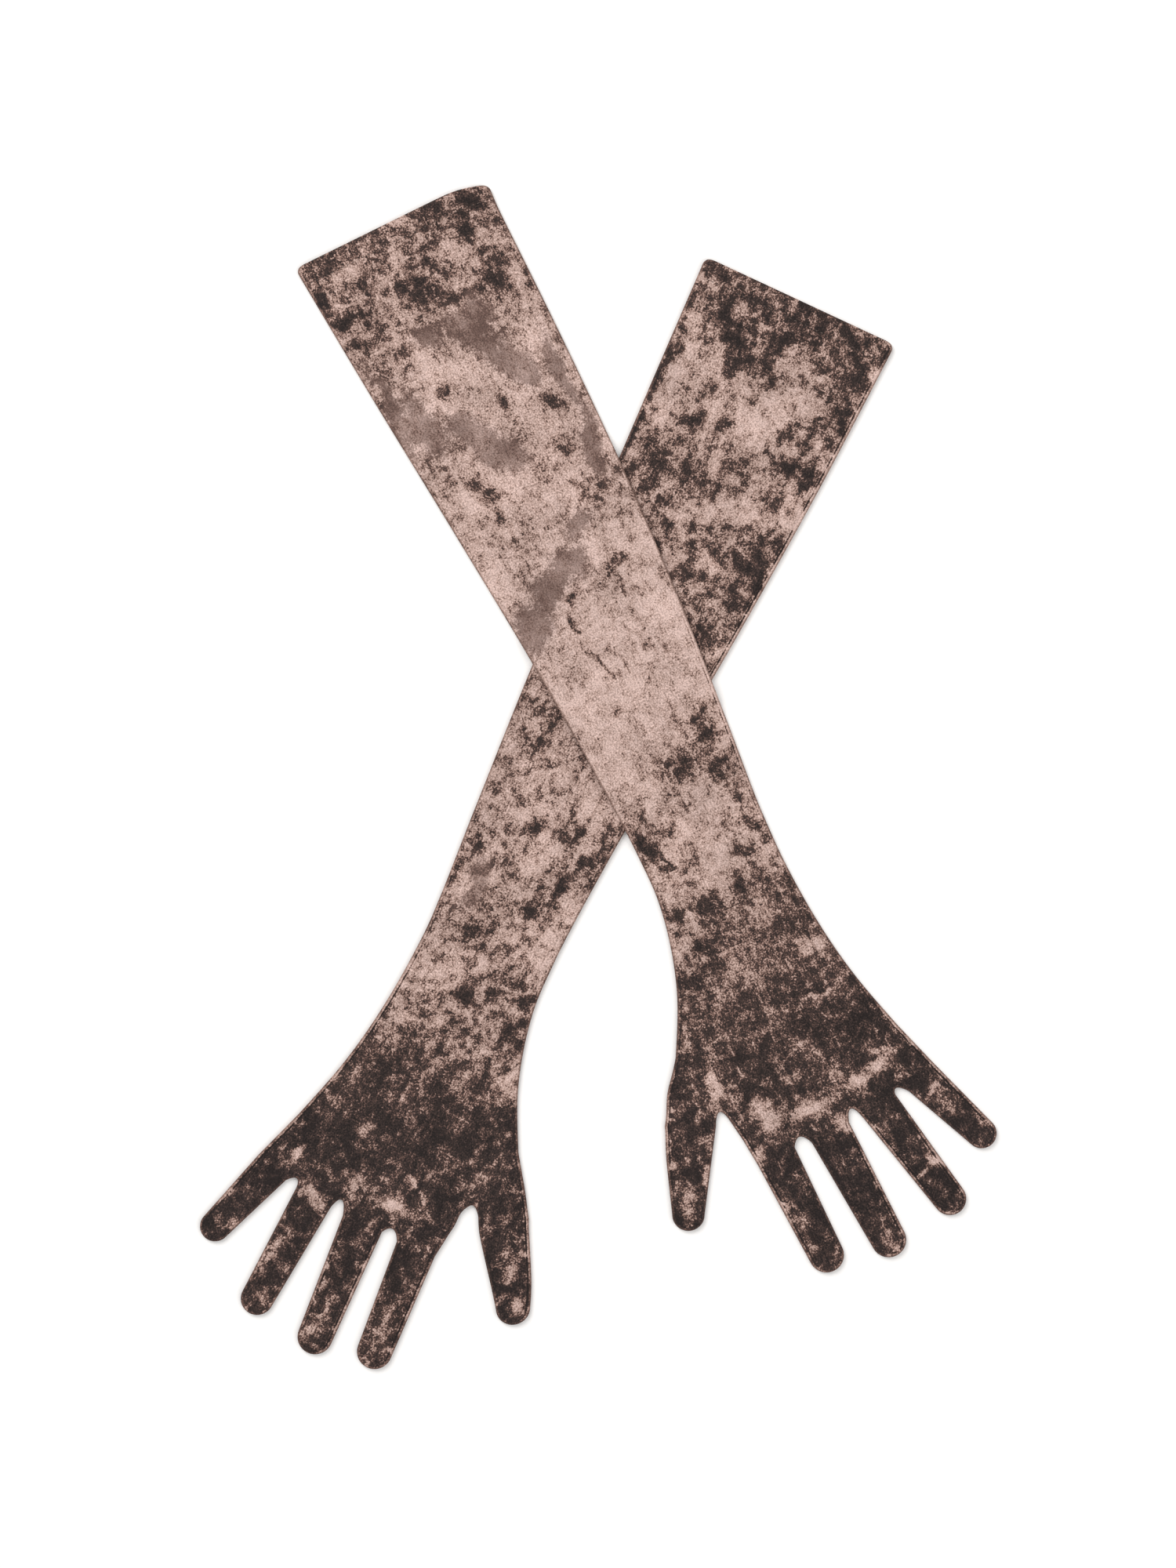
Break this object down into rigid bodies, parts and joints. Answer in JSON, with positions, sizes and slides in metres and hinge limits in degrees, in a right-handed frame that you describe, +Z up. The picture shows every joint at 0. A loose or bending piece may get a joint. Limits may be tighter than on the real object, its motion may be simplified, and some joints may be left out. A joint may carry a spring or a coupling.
{
  "type": "pair of opera gloves",
  "caption": "Long crushed-velvet opera gloves laid flat and crossed, palm side up, with turned-in cuffs, and wrists and fingers that fold.",
  "frame": {"origin": "middle of the outline of the laid-out pair, on the surface that it lies on", "axes": "+Z up from the surface, +Y towards the cuffs, +X towards the cuff of the left glove"},
  "size_m": [0.4168, 0.6222, 0.008],
  "materials": {
    "crushed_velvet": "crushed stretch velvet, taupe pile with dark brown crushed areas",
    "knit_backing": "matt stretch knit backing of the velvet, seen at the overlocked seam allowances inside",
    "sewing_thread": "polyester sewing thread, slight sheen"
  },
  "bodies": {
    "left_sleeve": {"left_sleeve_palm_panel": "crushed_velvet", "left_sleeve_back_panel": "crushed_velvet", "left_cuff_hem_palm": "crushed_velvet", "left_cuff_hem_back": "crushed_velvet", "left_cuff_hem_thread": "sewing_thread", "left_sleeve_seam_thumb_side": "knit_backing", "left_sleeve_seam_little_side": "knit_backing"},
    "left_hand": {"left_hand_palm_panel": "crushed_velvet", "left_hand_back_panel": "crushed_velvet", "left_hand_seam_thumb_side": "knit_backing", "left_hand_seam_little_side": "knit_backing"},
    "left_thumb": {"left_thumb_palm_panel": "crushed_velvet", "left_thumb_back_panel": "crushed_velvet"},
    "left_index": {"left_index_palm_panel": "crushed_velvet", "left_index_back_panel": "crushed_velvet"},
    "left_middle": {"left_middle_palm_panel": "crushed_velvet", "left_middle_back_panel": "crushed_velvet"},
    "left_ring": {"left_ring_palm_panel": "crushed_velvet", "left_ring_back_panel": "crushed_velvet"},
    "left_little": {"left_little_palm_panel": "crushed_velvet", "left_little_back_panel": "crushed_velvet"},
    "right_sleeve": {"right_sleeve_palm_panel": "crushed_velvet", "right_sleeve_back_panel": "crushed_velvet", "right_cuff_hem_palm": "crushed_velvet", "right_cuff_hem_back": "crushed_velvet", "right_cuff_hem_thread": "sewing_thread", "right_sleeve_seam_thumb_side": "knit_backing", "right_sleeve_seam_little_side": "knit_backing"},
    "right_hand": {"right_hand_palm_panel": "crushed_velvet", "right_hand_back_panel": "crushed_velvet", "right_hand_seam_thumb_side": "knit_backing", "right_hand_seam_little_side": "knit_backing"},
    "right_thumb": {"right_thumb_palm_panel": "crushed_velvet", "right_thumb_back_panel": "crushed_velvet"},
    "right_index": {"right_index_palm_panel": "crushed_velvet", "right_index_back_panel": "crushed_velvet"},
    "right_middle": {"right_middle_palm_panel": "crushed_velvet", "right_middle_back_panel": "crushed_velvet"},
    "right_ring": {"right_ring_palm_panel": "crushed_velvet", "right_ring_back_panel": "crushed_velvet"},
    "right_little": {"right_little_palm_panel": "crushed_velvet", "right_little_back_panel": "crushed_velvet"}
  },
  "joints": [
    {"name": "left_wrist_fold", "type": "hinge", "parent": "left_sleeve", "child": "left_hand", "pos_m": [-0.07131, -0.12768, 0.0037], "axis": [-0.8976, 0.4407, 0], "range_deg": [0, 80]},
    {"name": "left_thumb_fold", "type": "hinge", "parent": "left_hand", "child": "left_thumb", "pos_m": [-0.04957, -0.2336, 0.0037], "axis": [-0.9964, -0.0845, 0], "range_deg": [0, 60]},
    {"name": "left_index_fold", "type": "hinge", "parent": "left_hand", "child": "left_index", "pos_m": [-0.09548, -0.24838, 0.0037], "axis": [-0.9275, 0.3738, 0], "range_deg": [0, 90]},
    {"name": "left_middle_fold", "type": "hinge", "parent": "left_hand", "child": "left_middle", "pos_m": [-0.12344, -0.23521, 0.0037], "axis": [-0.9222, 0.3867, 0], "range_deg": [0, 90]},
    {"name": "left_ring_fold", "type": "hinge", "parent": "left_hand", "child": "left_ring", "pos_m": [-0.14881, -0.22108, 0.0037], "axis": [-0.8733, 0.4871, 0], "range_deg": [0, 90]},
    {"name": "left_little_fold", "type": "hinge", "parent": "left_hand", "child": "left_little", "pos_m": [-0.17048, -0.20554, 0.0037], "axis": [-0.7175, 0.6965, 0], "range_deg": [0, 90]},
    {"name": "right_glove_lift", "type": "slide", "parent": "left_sleeve", "child": "right_sleeve", "axis": [0, 0, 1], "range_m": [0, 0.3]},
    {"name": "right_wrist_fold", "type": "hinge", "parent": "right_sleeve", "child": "right_hand", "pos_m": [0.07121, -0.0788, 0.0037], "axis": [-0.9056, -0.4242, 0], "range_deg": [0, 80]},
    {"name": "right_thumb_fold", "type": "hinge", "parent": "right_hand", "child": "right_thumb", "pos_m": [0.04753, -0.18431, 0.0037], "axis": [-1, 0.0087, 0], "range_deg": [0, 60]},
    {"name": "right_index_fold", "type": "hinge", "parent": "right_hand", "child": "right_index", "pos_m": [0.09316, -0.19992, 0.0037], "axis": [-0.8918, -0.4524, 0], "range_deg": [0, 90]},
    {"name": "right_middle_fold", "type": "hinge", "parent": "right_hand", "child": "right_middle", "pos_m": [0.12136, -0.18727, 0.0037], "axis": [-0.8788, -0.4772, 0], "range_deg": [0, 90]},
    {"name": "right_ring_fold", "type": "hinge", "parent": "right_hand", "child": "right_ring", "pos_m": [0.14698, -0.17361, 0.0037], "axis": [-0.7955, -0.606, 0], "range_deg": [0, 90]},
    {"name": "right_little_fold", "type": "hinge", "parent": "right_hand", "child": "right_little", "pos_m": [0.16893, -0.15847, 0.0037], "axis": [-0.6807, -0.7325, 0], "range_deg": [0, 90]}
  ]
}
